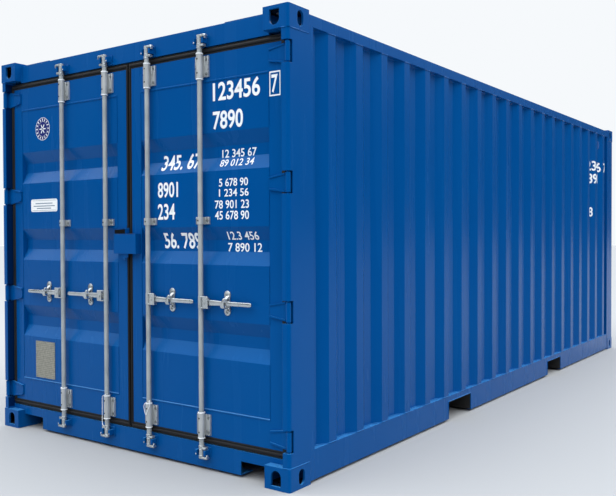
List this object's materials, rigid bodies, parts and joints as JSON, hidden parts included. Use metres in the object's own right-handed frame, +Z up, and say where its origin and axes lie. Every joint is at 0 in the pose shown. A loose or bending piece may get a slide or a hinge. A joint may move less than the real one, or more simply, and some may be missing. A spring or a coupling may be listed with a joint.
{
  "type": "shipping container",
  "caption": "Steel freight container eight feet high with corner castings, corrugated walls, plywood floor, and double rear doors with turning lock rods and lifting handles.",
  "frame": {"origin": "on the ground, under the middle of the container", "axes": "+X towards the closed front end (the doors are at -X), +Y towards the left-hand side wall, +Z up"},
  "size_m": [6.058, 2.438, 2.438],
  "materials": {
    "blue_paint": "gloss alkyd paint",
    "galvanised": "hot-dip galvanised, dull",
    "gasket_rubber": "matt extruded rubber",
    "floor_ply": "sealed hardwood plywood",
    "black_paint": "bitumen underside coating",
    "vent_plastic": "moulded, matt",
    "plate_aluminium": "plain satin plate"
  },
  "bodies": {
    "frame": {"bottom_corner_castings": "blue_paint", "top_corner_castings": "blue_paint", "rear_corner_posts": "blue_paint", "front_corner_posts": "blue_paint", "bottom_side_rails": "blue_paint", "top_side_rails": "blue_paint", "front_top_rail": "blue_paint", "front_bottom_rail": "blue_paint", "door_header": "blue_paint", "door_sill": "blue_paint", "right_side_wall": "blue_paint", "left_side_wall": "blue_paint", "front_wall": "blue_paint", "roof": "blue_paint", "roof_corner_plates": "blue_paint", "plywood_floor": "floor_ply", "floor_cross_members": "black_paint", "fork_pockets": "black_paint", "ventilators": "vent_plastic", "hinge_pins": "galvanised", "cam_keepers": "blue_paint"},
    "right_door": {"right_door_frame": "blue_paint", "right_door_panel": "blue_paint", "right_door_gasket": "gasket_rubber", "right_door_hinges": "blue_paint", "right_rod_brackets": "galvanised", "right_handle_retainers": "galvanised", "lock_box": "blue_paint"},
    "left_door": {"left_door_frame": "blue_paint", "left_door_panel": "blue_paint", "left_door_gasket": "gasket_rubber", "left_door_hinges": "blue_paint", "left_rod_brackets": "galvanised", "left_handle_retainers": "galvanised", "data_plate": "plate_aluminium"},
    "rod_1": {"lock_rod_1": "galvanised"},
    "handle_1": {"rod_handle_1": "galvanised"},
    "rod_2": {"lock_rod_2": "galvanised"},
    "handle_2": {"rod_handle_2": "galvanised"},
    "rod_3": {"lock_rod_3": "galvanised"},
    "handle_3": {"rod_handle_3": "galvanised"},
    "rod_4": {"lock_rod_4": "galvanised"},
    "handle_4": {"rod_handle_4": "galvanised"}
  },
  "joints": [
    {"name": "right_door_hinge", "type": "hinge", "parent": "frame", "child": "right_door", "pos_m": [-3.009, -1.199, 1.2], "axis": [0, 0, 1], "range_deg": [0, 260]},
    {"name": "left_door_hinge", "type": "hinge", "parent": "frame", "child": "left_door", "pos_m": [-3.009, 1.199, 1.2], "axis": [0, 0, -1], "range_deg": [0, 260]},
    {"name": "lock_rod_1_turn", "type": "hinge", "parent": "left_door", "child": "rod_1", "pos_m": [-3.006, 0.598, 0.925], "axis": [0, 0, -1], "range_deg": [-100, 0]},
    {"name": "handle_1_lift", "type": "hinge", "parent": "rod_1", "child": "handle_1", "pos_m": [-3.01, 0.638, 0.925], "axis": [1, 0, 0], "range_deg": [0, 40]},
    {"name": "lock_rod_2_turn", "type": "hinge", "parent": "left_door", "child": "rod_2", "pos_m": [-3.006, 0.184, 0.925], "axis": [0, 0, -1], "range_deg": [-100, 0]},
    {"name": "handle_2_lift", "type": "hinge", "parent": "rod_2", "child": "handle_2", "pos_m": [-3.01, 0.224, 0.925], "axis": [1, 0, 0], "range_deg": [0, 40]},
    {"name": "lock_rod_3_turn", "type": "hinge", "parent": "right_door", "child": "rod_3", "pos_m": [-3.006, -0.184, 0.925], "axis": [0, 0, 1], "range_deg": [-100, 0]},
    {"name": "handle_3_lift", "type": "hinge", "parent": "rod_3", "child": "handle_3", "pos_m": [-3.01, -0.224, 0.925], "axis": [-1, 0, 0], "range_deg": [0, 40]},
    {"name": "lock_rod_4_turn", "type": "hinge", "parent": "right_door", "child": "rod_4", "pos_m": [-3.006, -0.598, 0.925], "axis": [0, 0, 1], "range_deg": [-100, 0]},
    {"name": "handle_4_lift", "type": "hinge", "parent": "rod_4", "child": "handle_4", "pos_m": [-3.01, -0.638, 0.925], "axis": [-1, 0, 0], "range_deg": [0, 40]}
  ]
}
